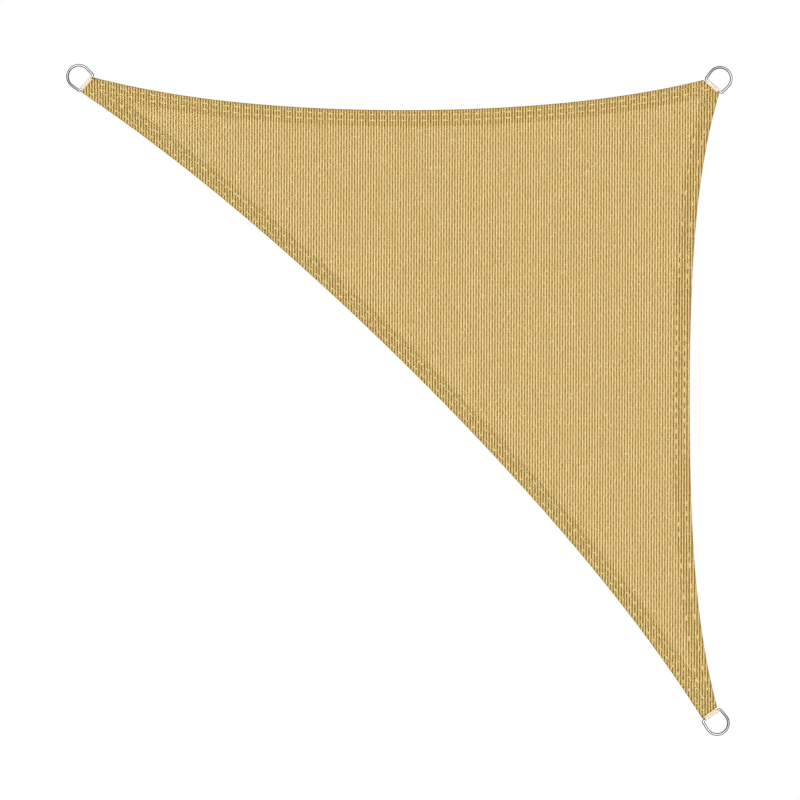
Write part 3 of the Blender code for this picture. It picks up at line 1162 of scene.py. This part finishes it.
def woven_strap(corner):
    """A closed strap on the line, its faces raised where a rib passes over a pick."""
    line = evenly(strap_line(corner), STRAP_STEP)
    half = STRAP_WIDTH / 2
    sections = []
    weave = []
    travelled = 0.0
    for i, here in enumerate(line):
        before, after = line[max(i - 1, 0)], line[min(i + 1, len(line) - 1)]
        along = (after - before).normalized()
        outwards = Vector((-along.y, along.x))
        travelled += (here - before).length if i else 0
        section = []
        for face in (1, -1):
            for column in range(STRAP_COLUMNS + 1):
                across = (2 * column / STRAP_COLUMNS - 1) * half * face
                thin = smooth(half - abs(across), 0.0, STRAP_EDGE)
                rib = math.cos(math.pi * across / (RIB_PITCH / 2))
                pick = math.cos(math.pi * travelled / (PICK_PITCH / 2))
                off = STRAP_THICKNESS / 2 * (SELVEDGE + (1 - SELVEDGE) * thin) - RIB_RELIEF
                off += RIB_RELIEF * rib * pick * face * thin
                point = here + outwards * off * face
                section.append((point.x, across, point.y))
                weave += (across, travelled, 0)
        sections.append(section)
    mesh = smoothed(closed_body("webbing_strap_" + corner.name, corner, sections))
    mark(mesh, "weave", weave, "FLOAT_VECTOR")
    return mesh


def webbing_finish():
    """Cream polyester in plain weave: lighter where a rib lies over a pick, with painted shade
    where it passes under.
    """
    made, shader = new_finish("cream_webbing", 0.55)
    weave = split(marked("weave", "Vector"))
    rib = wave(weave["X"], 1 / RIB_PITCH)
    lifted = times(rib, wave(weave["Y"], 1 / PICK_PITCH))
    share = mapped(lifted, -0.7, 0.3)
    yarn = uneven_yarn(WEBBING_SHADE, WEBBING_COLOUR, share, 0.08)
    relief = times(yarn["Height"], 0.6, lifted)
    dress(shader, browned(yarn["Colour"]), relief, strength=0.35, distance=0.0003)
    return made


cream_webbing = webbing_finish()
for corner in CORNERS.values():
    strap = new_object("webbing_strap_" + corner.name, woven_strap(corner), cream_webbing)
    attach(strap, "root")
    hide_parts("webbing_loop_" + corner.name)


# --- Rings ---
# Each D-ring is bent from polished stainless wire and welded in the bar that the strap covers.

RING_BEND_RADIUS = 0.0065
RING_BAR_HALF = 0.0256
RING_ARC_STEPS = 96
RING_BEND_STEPS = 14
WIRE_ROUNDNESS = 10
# The darker steel colour is a painted dark reflection, blended in along one shoulder of each ring.
STEEL_BRIGHT = (0.90, 0.905, 0.915)
STEEL_PAINTED_DARK = (0.27, 0.273, 0.28)
# The steel's colour is painted darker on this side of the pull, and more so inside the ring than
# outside: a painted dark reflection.
PAINTED_DARK_SIDE = math.radians(52)
PAINTED_DARK_SWING = 0.75
PAINTED_DARK_INSIDE = 0.45


def ring_line():
    """The wire's middle line, closed: +X is the round end, and the bar lies across -X."""
    centre = Vector((RING_BEND_RADIUS - RING_BAR_DEPTH, RING_BAR_HALF))
    lean = math.atan2(centre.x, centre.y)
    lean += math.acos((RING_ARC_RADIUS - RING_BEND_RADIUS) / centre.length)
    half = []
    for step in range(RING_BEND_STEPS + 1):
        angle = -math.pi / 2 + (lean + math.pi / 2) * step / RING_BEND_STEPS
        side = centre.y + RING_BEND_RADIUS * math.cos(angle)
        half.append((centre.x + RING_BEND_RADIUS * math.sin(angle), side))
    for step in range(RING_ARC_STEPS // 2 + 1):
        angle = lean + (math.pi / 2 - lean) * step / (RING_ARC_STEPS // 2)
        half.append((RING_ARC_RADIUS * math.sin(angle), RING_ARC_RADIUS * math.cos(angle)))
    return half + [(x, -y) for x, y in half[-2::-1]]


def note_dullness(mesh):
    """How much painted dark reflection each ring point takes: most at one shoulder, inside its
    round end.
    """
    x, y = seen_from_above(mesh).T
    inside = np.clip((RING_ARC_RADIUS - np.hypot(x, y)) / WIRE_RADIUS, -1, 1)
    swing = np.cos(np.arctan2(y, x) - PAINTED_DARK_SIDE) * (PAINTED_DARK_SWING + PAINTED_DARK_INSIDE * inside)
    mark(mesh, "dull", np.clip(0.5 + 0.5 * swing, 0, 1))


def steel_finish():
    """Bright wire with fine scuffs, and a painted dark reflection along one shoulder."""
    made, shader = new_finish("polished_steel", 0.12, 1.0)
    colour = blend_colours(marked("dull"), STEEL_BRIGHT, STEEL_PAINTED_DARK)
    feed(shader["Base Color"], colour)
    scuffs = noise(object_place(), 420.0, 4.0)
    feed(shader["Roughness"], mapped(scuffs, 0.3, 0.7, 0.06, 0.2))
    return made


steel = steel_finish()
for corner in CORNERS.values():
    curve = bpy.data.curves.new("wire", "CURVE")
    curve.dimensions = "3D"
    curve.bevel_depth = WIRE_RADIUS
    curve.bevel_resolution = WIRE_ROUNDNESS
    line = ring_line()
    spline = curve.splines.new("POLY")
    spline.points.add(len(line) - 1)
    for point, (x, y) in zip(spline.points, line):
        point.co = (x, y, 0, 1)
    spline.use_cyclic_u = True
    spline.use_smooth = True
    bent = new_object("wire", curve)
    mesh = plain_mesh(bent)
    bpy.data.objects.remove(bent)
    note_dullness(mesh)
    mesh.transform(ring_matrix(corner))
    mesh.shade_smooth()
    ring = new_object("steel_ring_" + corner.name, mesh, steel)
    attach(ring, "root")
    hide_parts("d_ring_" + corner.name)


# --- Floor and light ---
# A plain white floor, lit from below where the camera sees it, so that no shadow greys it, and
# dark where polished steel mirrors it. A wide soft sun lights the cloth. The steel mirrors only the
# sky, which is bright right overhead, dark lower down and dim again near the floor.

FLOOR_COLOUR = (0.93, 0.93, 0.93)
FLOOR_IN_STEEL = (0.13, 0.13, 0.134)
FLOOR_SIZE = 60.0
FLOOR_LEVEL = -0.0006
SUN_STRENGTH = 1.74
SUN_WIDTH = math.radians(35)
SUN_TURN = (math.radians(12), math.radians(-10), 0)
# The sky's light by the height of the way one looks, from level (0) to straight up (1).
SKY_LEVEL = (0.22, 0.22, 0.225)
SKY_DARK_AT = 0.50
SKY_DARK = (0.05, 0.05, 0.055)
SKY_STOPS = ((0.32, 0.22), (0.68, 0.28), (0.925, 0.50), (0.96, 3.5), (1.0, 3.9))

floor_mesh = bpy.data.meshes.new("floor")
half = FLOOR_SIZE / 2
square = [(-half, -half), (half, -half), (half, half), (-half, half)]
floor_mesh.from_pydata([(*p, FLOOR_LEVEL) for p in square], [], [(0, 1, 2, 3)])
floor_finish, floor_shader = new_finish("pale_floor", 0.9)
seen_by = put("ShaderNodeLightPath").outputs
colour = blend_colours(seen_by["Is Glossy Ray"], FLOOR_COLOUR, FLOOR_IN_STEEL)
colour = blend_colours(seen_by["Is Camera Ray"], colour, (0, 0, 0))
feed(floor_shader["Base Color"], colour)
feed(floor_shader["Specular IOR Level"], 0.0)
feed(floor_shader["Emission Color"], (1, 1, 1))
feed(floor_shader["Emission Strength"], seen_by["Is Camera Ray"])
floor = new_object("floor", floor_mesh, floor_finish)


edge_points = as_array(p for curve in edge_curves for p in curve)

sun_data = bpy.data.lights.new("softbox", "SUN")
sun_data.energy = SUN_STRENGTH
sun_data.angle = SUN_WIDTH
sun = new_object("softbox", sun_data)
sun.visible_glossy = False
sun.rotation_euler = SUN_TURN

world = bpy.data.worlds.new("studio")
world.use_nodes = True
scene.world = world
Begun.tree = world.node_tree
backdrop = Begun.tree.nodes["Background"]
direction = put("ShaderNodeTexCoord").outputs["Generated"]
ramp = put("ShaderNodeValToRGB", (0, split(direction)["Z"]))
stops = ramp.color_ramp.elements
stops[0].position = 0.0
stops[0].color = (*SKY_LEVEL, 1)
stops[1].position = SKY_DARK_AT
stops[1].color = (*SKY_DARK, 1)
for position, level in SKY_STOPS:
    stop = stops.new(position)
    stop.color = (level, level, level, 1)
feed(backdrop.inputs["Color"], ramp.outputs["Color"])
feed(backdrop.inputs["Strength"], 1.0)

scene.view_settings.view_transform = "Standard"
